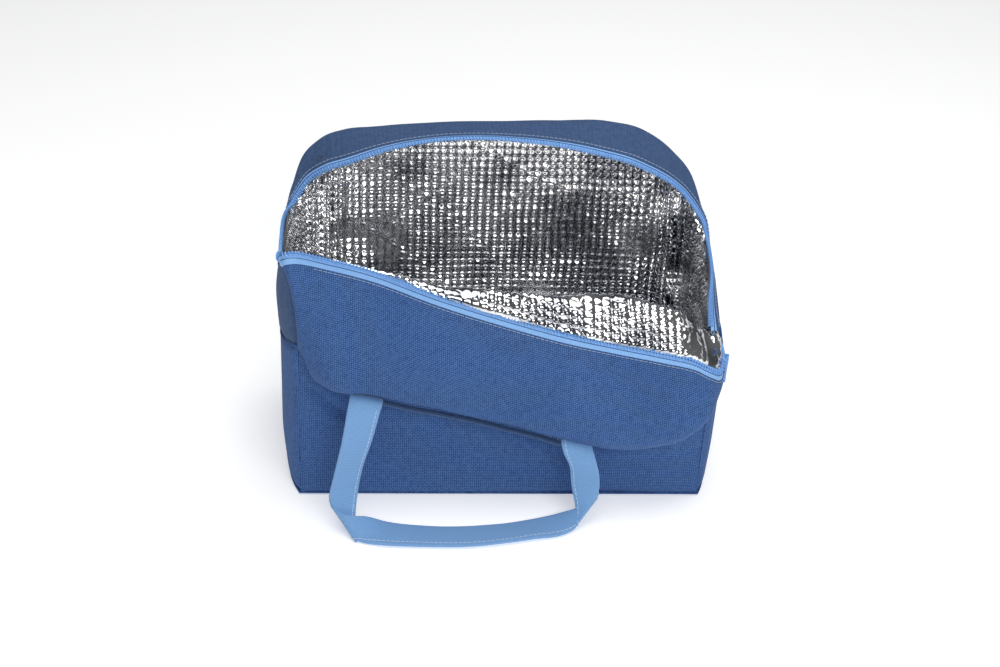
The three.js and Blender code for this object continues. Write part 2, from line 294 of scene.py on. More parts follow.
def creased(grid, amount, size, seed):
    """The panel with soft waves in it."""
    return offset(grid, amount * noise(grid, size, seed))


def line_near_edge(grid, distance):
    """The line on the skin this far from its last column, and the way out of the skin there."""
    _, v = arcs(grid)
    out = normals(grid)
    points, ways = [], []
    for row, run, way in zip(grid, v, out):
        at = [run[-1] - distance]
        points.append(read_off(row, run, at)[0])
        ways.append(read_off(way, run, at)[0])
    return np.array(points), np.array(ways)


# ---- materials ----
def new_material(name):
    material = bpy.data.materials.new(name)
    material.use_nodes = True
    shader = material.node_tree.nodes["Principled BSDF"]
    return material, material.node_tree, shader


def node(tree, kind, inputs=(), **settings):
    """Adds a node; inputs are (socket, value or output socket) pairs."""
    made = tree.nodes.new(kind)
    for key, value in settings.items():
        setattr(made, key, value)
    for socket, value in inputs:
        if isinstance(value, bpy.types.NodeSocket):
            tree.links.new(value, made.inputs[socket])
        else:
            made.inputs[socket].default_value = value
    return made


def maths(tree, operation, a, b=0.0):
    return node(tree, "ShaderNodeMath", [(0, a), (1, b)], operation=operation).outputs[0]


def colour_mix(tree, factor, a, b):
    return node(tree, "ShaderNodeMix", [(0, factor), (6, a), (7, b)], data_type="RGBA").outputs[2]


def noise_value(tree, vector, scale, detail=3.0):
    made = node(tree, "ShaderNodeTexNoise", [("Vector", vector), ("Scale", scale), ("Detail", detail)])
    return made.outputs[0]


def wave(tree, value, period):
    """Sine of the value, which is in metres, with a period in millimetres."""
    return maths(tree, "SINE", maths(tree, "MULTIPLY", value, 2 * math.pi / (period * MM)))


def spread(tree, value, low, high):
    """The value brought from low..high to 0..1."""
    made = node(tree, "ShaderNodeMapRange", [("Value", value), ("From Min", low), ("From Max", high)])
    return made.outputs[0]


def spread_to(tree, value, low, high):
    """The value brought from 0..1 to low..high."""
    made = node(tree, "ShaderNodeMapRange", [("Value", value), ("To Min", low), ("To Max", high)])
    return made.outputs[0]


def bump(tree, shader, height, strength, distance):
    inputs = [("Height", height), ("Strength", strength), ("Distance", distance * MM)]
    made = node(tree, "ShaderNodeBump", inputs)
    tree.links.new(made.outputs[0], shader.inputs["Normal"])


def canvas_material(name, dark, light, contrast=1.0):
    """Plain-woven canvas: small knots painted bright and the hollows between them painted dark, a painted
    highlight and painted shade on the weave, with slubs and faintly worn patches.
    """
    material, tree, shader = new_material(name)
    cloth = node(tree, "ShaderNodeUVMap", uv_map="cloth").outputs[0]
    place = node(tree, "ShaderNodeTexCoord").outputs["Object"]
    axes = node(tree, "ShaderNodeSeparateXYZ", [("Vector", cloth)])
    slub = noise_value(tree, place, 300.0)
    drift = maths(tree, "MULTIPLY", slub, 0.7 * MM)
    u = maths(tree, "ADD", axes.outputs[0], drift)
    v = maths(tree, "SUBTRACT", axes.outputs[1], drift)
    over = maths(tree, "MULTIPLY", wave(tree, u, 2 * WEAVE), wave(tree, v, 2 * WEAVE))
    knots = maths(tree, "MULTIPLY", maths(tree, "ABSOLUTE", over), 0.85 * contrast)
    basket = maths(tree, "ADD", knots, maths(tree, "MULTIPLY", over, 0.18 * contrast))
    height = maths(tree, "ADD", basket, maths(tree, "MULTIPLY", slub, 0.6))
    # The weave's height picks the colour: raised knots lighter as a painted highlight, hollows darker as
    # painted shade.
    tone = colour_mix(tree, spread(tree, height, 0.2, 1.05), dark, light)
    worn = spread(tree, noise_value(tree, place, 14.0), 0.3, 0.8)
    shaded = colour_mix(tree, maths(tree, "MULTIPLY", worn, 0.22), tone, dark)
    tree.links.new(shaded, shader.inputs["Base Color"])
    shader.inputs["Roughness"].default_value = 0.86
    shader.inputs["Sheen Weight"].default_value = 0.10
    shader.inputs["Sheen Roughness"].default_value = 0.5
    shader.inputs["Sheen Tint"].default_value = (0.45, 0.62, 1.0, 1)
    shader.inputs["Specular IOR Level"].default_value = 0.18
    bump(tree, shader, height, 0.5, 0.45)
    return material


def foil_material():
    """Aluminium foil: a clouded mirror, crinkled finely and dulled in patches."""
    material, tree, shader = new_material("silver_foil")
    place = node(tree, "ShaderNodeTexCoord").outputs["Object"]
    crinkle = noise_value(tree, place, 120.0, 2.0)
    facets = node(tree, "ShaderNodeTexVoronoi", [("Vector", place), ("Scale", 150.0)]).outputs["Distance"]
    broad = noise_value(tree, place, 17.0, 2.0)
    dull, bright = (0.36, 0.37, 0.40, 1), (0.92, 0.92, 0.93, 1)
    tone = colour_mix(tree, spread(tree, broad, 0.42, 0.56), dull, bright)
    tree.links.new(tone, shader.inputs["Base Color"])
    tree.links.new(spread_to(tree, crinkle, 0.05, 0.24), shader.inputs["Roughness"])
    shader.inputs["Metallic"].default_value = 1.0
    height = maths(tree, "ADD", crinkle, maths(tree, "MULTIPLY", facets, 0.2))
    bump(tree, shader, height, 0.3, 0.6)
    return material


def strap_material(name, dark, light, rib=1.5):
    """Twill tape or webbing: fine ribs across it, with a soft sheen."""
    material, tree, shader = new_material(name)
    cloth = node(tree, "ShaderNodeUVMap", uv_map="cloth").outputs[0]
    place = node(tree, "ShaderNodeTexCoord").outputs["Object"]
    axes = node(tree, "ShaderNodeSeparateXYZ", [("Vector", cloth)])
    slant = maths(tree, "ADD", axes.outputs[0], axes.outputs[1])
    ribs = maths(tree, "MULTIPLY", wave(tree, slant, rib), wave(tree, axes.outputs[1], rib * 1.4))
    height = maths(tree, "ADD", ribs, noise_value(tree, place, 700.0))
    tone = colour_mix(tree, spread(tree, height, -0.6, 1.6), dark, light)
    tree.links.new(tone, shader.inputs["Base Color"])
    shader.inputs["Roughness"].default_value = 0.8
    shader.inputs["Sheen Weight"].default_value = 0.2
    bump(tree, shader, height, 0.4, 0.3)
    return material


def plain_material(name, colour, roughness, grain=0.06, coarse=320.0):
    """One colour, faintly uneven."""
    material, tree, shader = new_material(name)
    place = node(tree, "ShaderNodeTexCoord").outputs["Object"]
    speckle = noise_value(tree, place, coarse)
    deeper = tuple(c * (1 - 4 * grain) for c in colour[:3]) + (1,)
    tree.links.new(colour_mix(tree, speckle, deeper, colour), shader.inputs["Base Color"])
    shader.inputs["Roughness"].default_value = roughness
    bump(tree, shader, speckle, 0.15, 0.2)
    return material


CANVAS = canvas_material("blue_canvas", (0.012, 0.036, 0.118, 1), (0.085, 0.190, 0.460, 1))
# The hood and the flap's lip are smoother and greyer to fit one view: a lighter copy of the canvas, painted
# sheen where light grazes the hood's top and a painted highlight along the lip; the cloth may be the same.
SHEEN_PAINTED_CANVAS = canvas_material(
    "blue_canvas_painted_sheen", (0.032, 0.066, 0.152, 1), (0.098, 0.156, 0.295, 1), contrast=0.45,
)
FOIL = foil_material()
WEBBING = strap_material("light_blue_webbing", (0.11, 0.26, 0.52, 1), (0.23, 0.44, 0.75, 1))
TAPE = strap_material("light_blue_tape", (0.19, 0.40, 0.78, 1), (0.31, 0.57, 0.95, 1), 0.9)
COIL = plain_material("light_blue_nylon", (0.21, 0.46, 0.91, 1), 0.32)
# Dark blue cords at the zip's seams and along the waist: partly seam thread, partly painted shade in the
# grooves beside the coil and in the waist's crease.
SEAM_AND_PAINTED_SHADE = plain_material("seam_thread_and_painted_shade", (0.035, 0.11, 0.34, 1), 0.8)
THREAD = plain_material("pale_thread", (0.30, 0.40, 0.58, 1), 0.7, coarse=900.0)
STRAP_THREAD = plain_material("strap_thread", (0.50, 0.66, 0.86, 1), 0.7, coarse=900.0)
FOAM = plain_material("white_foam", (0.82, 0.82, 0.80, 1), 0.95, coarse=500.0)
BOARD = plain_material("grey_board", (0.30, 0.29, 0.27, 1), 0.9)


# ---- shape of the bag ----
def side_bulge(y, z):
    """How far a side stands out beyond the plain box."""
    reach = 13 + 3.5 * ease(z / 50)
    return reach * np.clip(1 - np.abs(y / (DEPTH / 2)) ** 3.5, 0, 1)


def waist_height(x, y):
    on_side = ease((np.abs(x) - 172) / 10)
    return WAIST - 14 * np.cos(np.pi * np.clip(y, -DEPTH / 2, DEPTH / 2) / DEPTH) * on_side


# Stations of the upper walls, from the right front corner round the back to the left front corner:
# the foot at the waist (x, y), the shoulder (x, y, z) and the edge at the zip (x, y, z).
HOOD = [
    ((186, -58), (183.5, -58, 145), (180, -57, 144)),
    ((190.5, -22), (188, -22, 149), (182, -22, 155.5)),
    ((191, 16), (189.5, 15, 164), (185.5, 12, 172)),
    ((189.5, 46), (189, 46, 178), (186, 44, 183)),
    ((184, 72), (186, 70, 196), (184, 65, 194)),
    ((173, 88), (172, 85, 229), (169, 71, 214)),
    ((155, 91), (154, 88, 250), (152, 67, 231)),
    ((128, 92), (126, 88, 270), (121, 62, 249.5)),
    ((93, 93), (92, 88, 278), (86, 61, 260)),
    ((40, 93), (40, 88, 277.5), (40, 60, 269.5)),
    ((-10, 93), (-10, 88, 276.5), (-10, 60, 273.5)),
    ((-60, 93), (-60, 88, 274), (-60, 60, 271)),
    ((-104, 93), (-104, 88, 270.5), (-102, 62, 261)),
    ((-140, 92), (-140, 88, 266), (-137, 65, 246.5)),
    ((-162, 91), (-160, 87, 258), (-156, 68, 238)),
    ((-178, 87), (-175, 85, 243), (-171, 71, 226)),
    ((-187, 70), (-185, 72, 218), (-184, 63, 208.5)),
    ((-191, 40), (-191.5, 40, 190), (-189.5, 40, 203)),
    ((-191.5, 0), (-192, 0, 188), (-190.5, 0, 200)),
    ((-190.5, -35), (-191, -35, 193), (-189.5, -35, 205)),
    ((-188, -62), (-190, -61, 203), (-189, -60, 216)),
    ((-182, -80), (-185, -78, 204), (-188, -72, 219)),
    ((-175, -89), (-178, -87, 200), (-186, -78, 220)),
    ((-164, -91), (-166, -90, 196), (-182, -79, 219)),
]


def hood_station(foot, shoulder, edge):
    """Foot, two points of the wall, shoulder and edge."""
    base = np.array([foot[0], foot[1], waist_height(foot[0], foot[1])])
    shoulder, edge = np.array(shoulder, float), np.array(edge, float)
    out = unit(np.array([foot[0] * (abs(foot[0]) > 170), max(foot[1], 0) * (foot[1] > 60), 0.0]) + 1e-6)
    tall = (shoulder[2] - base[2]) / 130
    low, high = base + (shoulder - base) * 0.34, base + (shoulder - base) * 0.7
    return [base, low + out * 2.5 * tall, high + out * 3.5 * tall, shoulder, edge]


def lower_station(foot, shoulder, edge):
    """The station's foot carried down the lower wall to the floor of the bag."""
    x, y, z = hood_station(foot, shoulder, edge)[0]
    sunk = x - np.sign(x) * 3.5 * min(1, max(0, (abs(x) - 175) / 12))
    return [np.array([sunk, min(y, DEPTH / 2), 6.0]), np.array([x, y, 72.0]), np.array([x, y, z])]


def skin_grid(count_u, lower_v, upper_v):
    """The bag's skin but for its front: lower walls and hood, which meet at the waist."""
    feet = np.array([row[0] for row in HOOD], float)
    knots = lengths(feet)
    upper = loft([hood_station(*row) for row in HOOD], count_u, upper_v, knots)
    lower = loft([lower_station(*row) for row in HOOD], count_u, lower_v, knots)
    return lower, upper


# Lines across the front: the flap's zip edge (x, y, z), the bottom of its fold (x, z), and the ridge of
# the padding behind its edge (x, y, z).
FLAP_EDGE = [
    (-170, -82, 226), (-117, -89, 216), (-61, -99, 199), (0, -106, 182),
    (60, -112, 168), (120, -114, 156), (155, -111, 146), (172, -105, 134),
]
FLAP_FOLD = [
    (-150, 122), (-116, 116), (-60, 104), (0, 88), (50, 73), (93, 63), (125, 65), (158, 78), (172, 96),
]
RIDGE = [
    (-184, -68, 204), (-150, -79, 211), (-117, -83, 209), (-70, -89, 205), (-25, -91, 202), (28, -87, 196),
    (68, -82, 192), (115, -79, 186), (135, -79, 179), (154, -76, 167), (172, -66, 150),
]


def on_line(points, x):
    """The point at this x on a line of given points."""
    points = np.asarray(points, float)
    return interpolate(points[:, 0], points, np.array([float(x)]))[0]


def flap_station(x):
    """Seam at the waist, back of the fold, its bottom, its face, the middle and the zip edge."""
    edge = on_line(FLAP_EDGE, x)
    bottom = on_line(FLAP_FOLD, x)[1]
    face = np.array([x, -121, bottom + 12])
    middle = face + (edge - face) * 0.55 + np.array([0, -3.0, 0])
    behind = [(x, -92.5, 147), (x, -97, bottom + 10), (x, -109, bottom)]
    return behind + [tuple(face), tuple(middle), tuple(edge)]


# The flap's ends, where it turns round the corners: stations from the waist seam to the zip edge.
LEFT_FLAP_END = [
    [
        (-174, -88, 148), (-174.5, -88, 162), (-175, -88, 176),
        (-176.5, -87, 190), (-180, -84, 206), (-187, -76, 220),
    ],
    [
        (-173, -91, 147), (-172, -93, 148), (-172, -96, 150),
        (-173.5, -96, 168), (-177, -92, 203), (-184, -80, 223.5),
    ],
    [
        (-163, -92.5, 147), (-161, -98, 135), (-161, -105, 129),
        (-164, -106, 146), (-168, -97, 195), (-172, -82, 226),
    ],
]
RIGHT_FLAP_END = [
    [
        (175, -89, 148), (178, -91, 118), (178, -95, 104),
        (180.5, -98, 113), (181, -98, 124), (179.5, -97, 129),
    ],
    [
        (179, -74, 144.5), (181, -75, 128), (183, -78, 119),
        (185, -80, 126), (185, -79, 134), (182, -78, 138),
    ],
    [
        (182, -60, 142.5), (183, -60, 138), (184, -61, 134),
        (184.5, -62, 137), (184, -61, 140), (181, -60, 142),
    ],
]


def flap_grid():
    middle = [flap_station(x) for x in (-148, -116, -60, 0, 50, 93, 125, 155, 170)]
    return loft(LEFT_FLAP_END + middle + RIGHT_FLAP_END, 300, 150)


# ---- pieces of the bag ----
def place(obj, slot, *nodes, body=BAG):
    """Hides the CAD nodes the piece stands for and gives it the body it moves with; a piece at the mouth is
    baked where it stands instead. The slot is not used.
    """
    if nodes:
        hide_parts(*nodes)
    if body in MOUTH_BLENDS:
        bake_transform(obj)
    else:
        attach(obj, body)
    return obj


def foam_layer(name, panel):
    """The foam behind a panel, its inner side eased where the panel bends sharply."""
    inner = smoothed(offset(panel, -FOAM_TO), FOAM_EASING)
    return slab(name + "_foam_layer", offset(panel, -FOAM_FROM), inner, FOAM)


def quilt(name, panel):
    """A canvas panel of the lower walls with its layer of foam behind it."""
    outer = slab(name + "_canvas", panel, offset(panel, -CANVAS_THICK), CANVAS)
    place(outer, "canvas", name + "_panel")
    foam = foam_layer(name, panel[4:-4, 3:-3])
    place(foam, "foam", name + "_foam")


def drawn_in(z):
    """How much the corners are drawn in toward the bottom seam."""
    return 1 - 0.014 * np.exp(-(z / 5) ** 2)


def front_grid(z_from, z_to, columns, rows):
    half = WIDTH / 2 - SEAM_ROOM
    x = np.linspace(-half, half, columns)[:, None]
    z = np.linspace(z_from, z_to, rows)[None, :]
    y = -DEPTH / 2 - 2.2 * np.sin(np.pi * z / WAIST) * (1 - (x / (WIDTH / 2)) ** 6)
    return grid_of(x * drawn_in(z), y, z)


def back_grid(z_from, z_to, columns, rows):
    half = WIDTH / 2 - SEAM_ROOM
    x = np.linspace(half, -half, columns)[:, None]
    z = np.linspace(z_from, z_to, rows)[None, :]
    y = DEPTH / 2 + 2.8 * np.sin(np.pi * z / 260) * (1 - (x / (WIDTH / 2)) ** 6)
    return grid_of(x * drawn_in(z), y, z)


def side_grid(side, columns, rows):
    """The lower wall on one side, its columns ordered so that it faces out."""
    half = DEPTH / 2 - SEAM_ROOM
    y = np.linspace(-half, half, columns)[::side, None]
    up = np.linspace(0, 1, rows)[None, :]
    z = WALL_FOOT + up * (waist_height(side * SIDE_X, y) - 1.6)
    x = side * (WIDTH / 2 + side_bulge(y, z)) * drawn_in(z)
    return grid_of(x, y, z)


def left_crease(grid):
    """The soft slanting dent near the left end of the lower front."""
    x, z = grid[..., 0], grid[..., 2]
    along = (x + 150) * 0.77 + (z - 96) * -0.64
    across = (x + 150) * 0.64 + (z - 96) * 0.77
    dent = np.exp(-(across / 5) ** 2) * np.exp(-(along / 30) ** 4)
    return offset(grid, -3.0 * dent)


def build_lower_walls():
    front = creased(left_crease(front_grid(WALL_FOOT, WALL_TOP, 220, 96)), 0.9, 46, 3)
    quilt("lower_front", sewn(front))
    back = creased(back_grid(WALL_FOOT, WALL_TOP, 160, 72), 0.9, 50, 4)
    quilt("lower_back", sewn(back))
    for side, name, seed in ((1, "lower_right", 5), (-1, "lower_left", 6)):
        quilt(name, sewn(creased(side_grid(side, 100, 80), 0.8, 42, seed)))


def build_hood():
    _, grid = skin_grid(520, 20, 84)
    grid = creased(grid, 0.7, 44, 8)
    _, v = arcs(grid)
    grid = offset(grid, -2.2 * np.exp(-(v / 4) ** 2))
    # The hood is drawn in the greyer, lighter copy of the canvas: painted sheen on its upward faces.
    outer = slab("hood_canvas", grid, offset(grid, -CANVAS_THICK), SHEEN_PAINTED_CANVAS)
    place(outer, "canvas", "upper_back_panel", "upper_left_panel", "upper_right_panel")
    # A dark cord along the hood's foot: the waist seam, with painted shade in its crease.
    welt = grid[4:-4:2, 0] + normals(grid)[4:-4:2, 0] * 1.6
    place(tubes_object("waist_seam_and_shade", [welt], 0.8, 6, SEAM_AND_PAINTED_SHADE), "canvas")
    # The foam stops short of the rim, and well short of the left front corner, where the cloth turns sharply.
    inset = grid[6:-36, 3:-14]
    way = unit(smoothed(normals(inset), 30))
    foam = slab("hood_foam_layer", inset - way * FOAM_FROM, inset - way * FOAM_TO, FOAM)
    place(foam, "foam", "upper_back_foam", "upper_left_foam", "upper_right_foam")
    return grid


def long_creases(grid, seed):
    """Thin ridges that run slantwise over the sheet."""
    x, y, z = np.moveaxis(grid, -1, 0)
    along = 0.8 * (x - y) - 0.6 * z
    across = 0.6 * (x - y) + 0.8 * z
    stretched = np.stack([along * 0.16, across, 0.3 * y], axis=-1)
    return (1 - np.abs(noise(stretched, 42, seed))) ** 30


def bubbles(grid, height, roundness):
    """Rows of bumps pressed in the foil, sharp or round, flattened here and there, with long creases."""
    u, v = arcs(grid)
    u = u[:, :u.shape[1] // 2].mean(axis=1)[:, None] + 0.7 * noise(grid, 23, 25)
    v = v + 0.7 * noise(grid, 23, 26)
    across = np.abs(np.sin(np.pi * u / BUBBLE))
    up = np.abs(np.sin(np.pi * v / BUBBLE))
    pointed = np.minimum(*[1 - np.abs(1 - 2 * ((run / BUBBLE) % 1)) for run in (u, v)])
    cells = roundness * (across * up) ** 0.6 + (1 - roundness) * pointed
    worn = 0.3 + 0.7 * ease(1.1 + 2.0 * noise(grid, 34, 21))
    crumple = (1 - np.abs(noise(grid, 16, 22))) ** 8
    relief = height * cells * worn + 0.3 * crumple
    return relief + 1.1 * long_creases(grid, 27) + 0.8 * long_creases(grid * (-1, 1, 1), 28)


def foil(name, grid, nodes, height=2.0, share=1.0, roundness=0.15, way=None, body=BAG):
    """A sheet of foil on the visible side of the grid; share thins its bumps where there is less room."""
    way = normals(grid) if way is None else way
    swell = share * (2.6 + 2.6 * noise(grid, 56, 24) + 0.5 * noise(grid, 24, 29))
    back = grid + way * swell[..., None]
    raised = 0.25 + share * bubbles(grid, height, roundness)
    sheet = slab(name, back + way * raised[..., None], back - way * 0.5, FOIL)
    return place(sheet, "foil", *nodes, body=body)


def pleats(grid):
    """Upright folds where the side lining is gathered into the corners."""
    x, y = grid[..., 0], grid[..., 1]
    corner = np.exp(-(np.hypot(np.abs(x) - PLEAT_X, y - PLEAT_Y) / PLEAT_REACH) ** 2)
    wobble = 4 * noise(grid * (0.2, 0.2, 1), 40, 31)
    u, _ = arcs(grid)
    fold = np.abs(np.sin(np.pi * (u[:, :1] + wobble) / PLEAT_PITCH))
    return PLEAT_DEPTH * corner * fold


def build_lining():
    lower, upper = skin_grid(900, 136, 124)
    walls = np.concatenate([lower, upper[:, 1:]], axis=1)[::-1]
    _, v = arcs(walls)
    to_edge = v[:, -1:] - v
    depth = 2.2 + (LINING_DEPTH - 1.6) * ease(to_edge / 16)
    inward = unit(smoothed(normals(walls), 40))
    inner = walls + inward * (depth + pleats(walls) * ease((to_edge - 8) / 30))[..., None]
    steeper_at_sides = 2.0 + 2.2 * ease((np.abs(walls[..., 0]) - 110) / 50)
    foil("wall_lining", inner, (
        "lower_left_lining", "lower_back_lining", "lower_right_lining",
        "upper_left_lining", "upper_back_lining", "upper_right_lining",
    ), height=steeper_at_sides, share=0.4 + 0.6 * ease((to_edge - 3) / 18), way=inward)
    front = front_grid(8, 146, 230, 84)[::-1] + np.array([0, LINING_DEPTH + 2.2, 0])
    foil("front_lining", front, ("lower_front_lining",))
    x = np.linspace(-FLOOR_HALF_LENGTH, FLOOR_HALF_LENGTH, 220)[:, None]
    y = np.linspace(-FLOOR_HALF_DEPTH, FLOOR_HALF_DEPTH, 104)[None, :]
    floor = grid_of(x * (1 - 0.02 * np.abs(y / FLOOR_HALF_DEPTH) ** 4), y, FLOOR_HEIGHT)
    foil("floor_lining", floor, ("base_lining",), height=0.9, share=0.7)


def ridge_station(x):
    """The roll of padding behind the open edge of the flap: zip, roll, ridge and down inside."""
    edge = on_line(FLAP_EDGE, x) + np.array([0, 3.0, 3.5])
    ridge = on_line(RIDGE, x)
    roll = edge + (ridge - edge) * 0.5 + np.array([0, 0, 2.5 + 0.04 * (ridge[1] - edge[1])])
    inner = ridge + np.array([0, 7.5, -13])
    down = np.array([x, -78.5, max(152.0, ridge[2] - 40)])
    waist = np.array([x, -82, 149])
    return [edge, roll, ridge, inner, (down + inner) / 2, waist]


# The ends of the roll of padding behind the flap's edge: stations from the zip over the ridge and down.
ROLL_LEFT_END = [
    (-184, -74, 218), (-183, -71, 214), (-182, -69, 208),
    (-182, -68, 195), (-181, -70, 174), (-178, -75, 150),
]
ROLL_RIGHT_TURN = [
    (179, -94, 134), (177, -88, 142), (175, -80, 148),
    (174, -72, 150), (173, -68, 146), (172, -66, 140),
]
ROLL_RIGHT_END = [
    (181, -76, 138), (181, -68, 143), (180, -61, 145),
    (179, -57, 145), (178, -57, 142), (177, -58, 138),
]


def build_flap():
    grid = flap_grid()
    grid = creased(grid, 0.9, 40, 11)
    _, v = arcs(grid)
    along_face = lengths(grid[:, FACE_COLUMN])
    grain = np.broadcast_to(along_face[:, None], v.shape), v[:, -1:] - v
    outer = slab("flap_canvas", grid, offset(grid, -CANVAS_THICK), CANVAS, grain)
    place(outer, "canvas", "flap_panel", body="mouth")
    foam = foam_layer("flap", grid[34:-34, 5:-8])
    place(foam, "foam", "flap_foam", body="mouth")
    return grid


def build_flap_roll():
    """The foil over the roll of padding: lumpy, and less so where it runs out at the right end."""
    middle = [ridge_station(x) for x in (-166, -140, -117, -70, -25, 28, 68, 100, 135, 156, 167)]
    stations = [ROLL_LEFT_END] + middle + [ROLL_RIGHT_TURN, ROLL_RIGHT_END]
    roll = loft(stations, 440, 124)
    _, v = arcs(roll)
    rim = ease(v / 5)
    lumps = 2.2 * noise(roll, 38, 41) + 1.0 * (1 - np.abs(noise(roll, 26, 42))) ** 6
    roll = offset(roll, rim * lumps)
    share = 0.2 + 0.8 * ease((154 - roll[..., 0]) / 16)
    roll = offset(roll, rim * (1 - share) * 1.6 * (1 - np.abs(noise(roll, 10, 43))) ** 4)
    foil(
        "flap_roll_lining", roll, ("flap_lining",), height=2.2, share=share, roundness=1.0, body="mouth_roll",
    )


def lip_line(count):
    x = np.linspace(-104, 47, count)
    z = np.array([on_line(FLAP_FOLD, value)[1] for value in x])
    return np.stack([x, np.full(count, -113.5), z - 2.8], axis=1)


def build_flap_lip():
    """The folded seam allowance that peeps out below the flap between the handle's legs, and its threads."""
    line = lip_line(140)
    angle = np.linspace(0, 2 * np.pi, 17)
    ring = np.stack([0 * angle, 3.4 * np.cos(angle), 1.7 * np.sin(angle)], axis=1)
    sway = 1.2 * noise(line, 26, 51)[:, None] * np.array([0, 1, 0.4])
    grid = (line + sway)[:, None] + ring[None]
    u, v = arcs(grid)
    uv = np.stack([u.ravel(), v.ravel()], axis=1)
    # The lip is drawn in the greyer, lighter copy of the canvas: a painted highlight along its rolled top.
    lip = mesh_object("flap_seam_roll", grid.reshape(-1, 3), grid_faces(*grid.shape[:2]), SHEEN_PAINTED_CANVAS, uv)
    place(lip, "canvas", "flap_seam_lip", body=FLAP)
    ends = []
    rng = np.random.default_rng(6)
    for start in ((34, -106.5, 78), (41, -106, 76.5), (44, -106.5, 76)):
        drift = np.cumsum(rng.uniform(-1.2, 1.2, (7, 3)) + np.array([0.7, -0.5, -0.6]), axis=0)
        ends.append(curve(np.array(start) + np.vstack([np.zeros(3), drift]), 20))
    loose = tubes_object("loose_threads", ends, 0.3, 5, THREAD)
    place(loose, "canvas", body=FLAP)


# ---- zip ----
FRONT_COIL = [
    (181.5, -62, 144.5), (183, -78, 142), (180.5, -95, 138), (172, -103, 144), (155, -109, 154.5),
    (120, -112, 165), (60, -110.5, 177.5), (0, -104, 190.5), (-61, -97.5, 206.5), (-117, -88, 223),
    (-153, -83.5, 230), (-172, -80, 231), (-183, -77, 229), (-188, -74, 225.5),
]


def coil_strands(line, across):
    """The zip's teeth, a flattened winding along the line, and the two cords inside it."""
    run = lengths(line)
    count = int(run[-1] / COIL_PITCH * 12)
    at = np.linspace(0, run[-1], count)
    centre = read_off(line, run, at)
    flat = read_off(across, run, at)
    along = unit(np.gradient(centre, axis=0))
    flat = unit(flat - along * np.sum(flat * along, axis=1, keepdims=True))
    turn = (2 * np.pi * at / COIL_PITCH)[:, None]
    thick = np.cross(along, flat)
    wound = centre + COIL_HALF_WIDTH * flat * np.cos(turn) + COIL_HALF_THICK * thick * np.sin(turn)
    return wound, [centre + side * 0.5 * COIL_HALF_WIDTH * flat for side in (-1, 1)]


def build_coil(name, line, across, cad_node, body):
    wound, cords = coil_strands(line, across)
    vertices, faces = tube(wound, 0.52, 5)
    for cord in cords:
        more_vertices, more_faces = tube(cord[::8], 0.45, 8)
        faces = faces + [[len(vertices) + i for i in face] for face in more_faces]
        vertices = np.concatenate([vertices, more_vertices])
    place(mesh_object(name, vertices, faces, COIL), "zip_coil", cad_node, body=body)


def ribbon(inner, outer, rows, bow, toward):
    """A strip between two lines, bowed a little toward the given way."""
    t = np.linspace(0, 1, rows)[None, :, None]
    strip = inner[:, None] + (outer - inner)[:, None] * t
    return strip + np.asarray(toward, float) * bow * np.sin(np.pi * t)


def half_zip(name, foot, top, coil, bow, cad_nodes, body):
    """One side of the zip: its tape from foot to top, its coil, and the seam that holds the coil down, a dark
    cord that also paints the shade of the groove beside the coil.
    """
    strip = ribbon(foot, top, 12, bow, (0, -0.5, 0.8))
    face = normals(strip)
    tape = slab(name + "_tape", strip, strip - face * 0.9, TAPE)
    place(tape, "zip_tape", cad_nodes[0], body=body)
    across = unit(top - foot)
    build_coil(name + "_coil", coil[8:-8], across[8:-8], cad_nodes[1], body)
    middle = strip.shape[1] // 2
    # The seam is a dark cord: its thread, and painted shade in the groove beside the coil.
    seam = coil - across * (COIL_HALF_WIDTH + 1.0) + face[:, middle] * 0.35
    place(tubes_object(name + "_seam", [seam[4:-4:2]], 0.42, 6, SEAM_AND_PAINTED_SHADE), "zip_tape", body=body)


def build_zip(hood, flap):
    count = 620
    hand_line = curve(FRONT_COIL[::-1], count)
    under, _ = line_near_edge(flap, 2.5)
    foot = evenly(under, count)
    room = np.linalg.norm(hand_line - foot, axis=1, keepdims=True)
    towards = eased(unit(hand_line - foot), 60)
    coil = foot + towards * np.minimum(room, TAPE_WIDTH) + np.array([0, -0.4, 0.6])
    front_nodes = ("zip_tape_front", "zip_coil_front")
    half_zip("front_zip", foot - towards * 0.5, coil, coil, 0.8, front_nodes, "mouth")

    edge = evenly(hood[:, -1], count)
    under, out = line_near_edge(hood, 1.8)
    under = evenly(under, count)
    lift = evenly(out, count) * 0.9
    direction = unit(eased(unit(edge - under), 250))
    top = edge + direction * 3.4 + lift
    half_zip("back_zip", under + lift, top, top, 0.3, ("zip_tape_back", "zip_coil_back"), BAG)

    line, out = line_near_edge(flap, 4.6)
    place(stitches("flap_topstitch", line, out, THREAD, 0.07, 0.95), "zip_tape", body="mouth")
    line, out = line_near_edge(hood, 5.4)
    place(stitches("hood_topstitch", line, out, THREAD, 0.02, 0.98), "zip_tape")


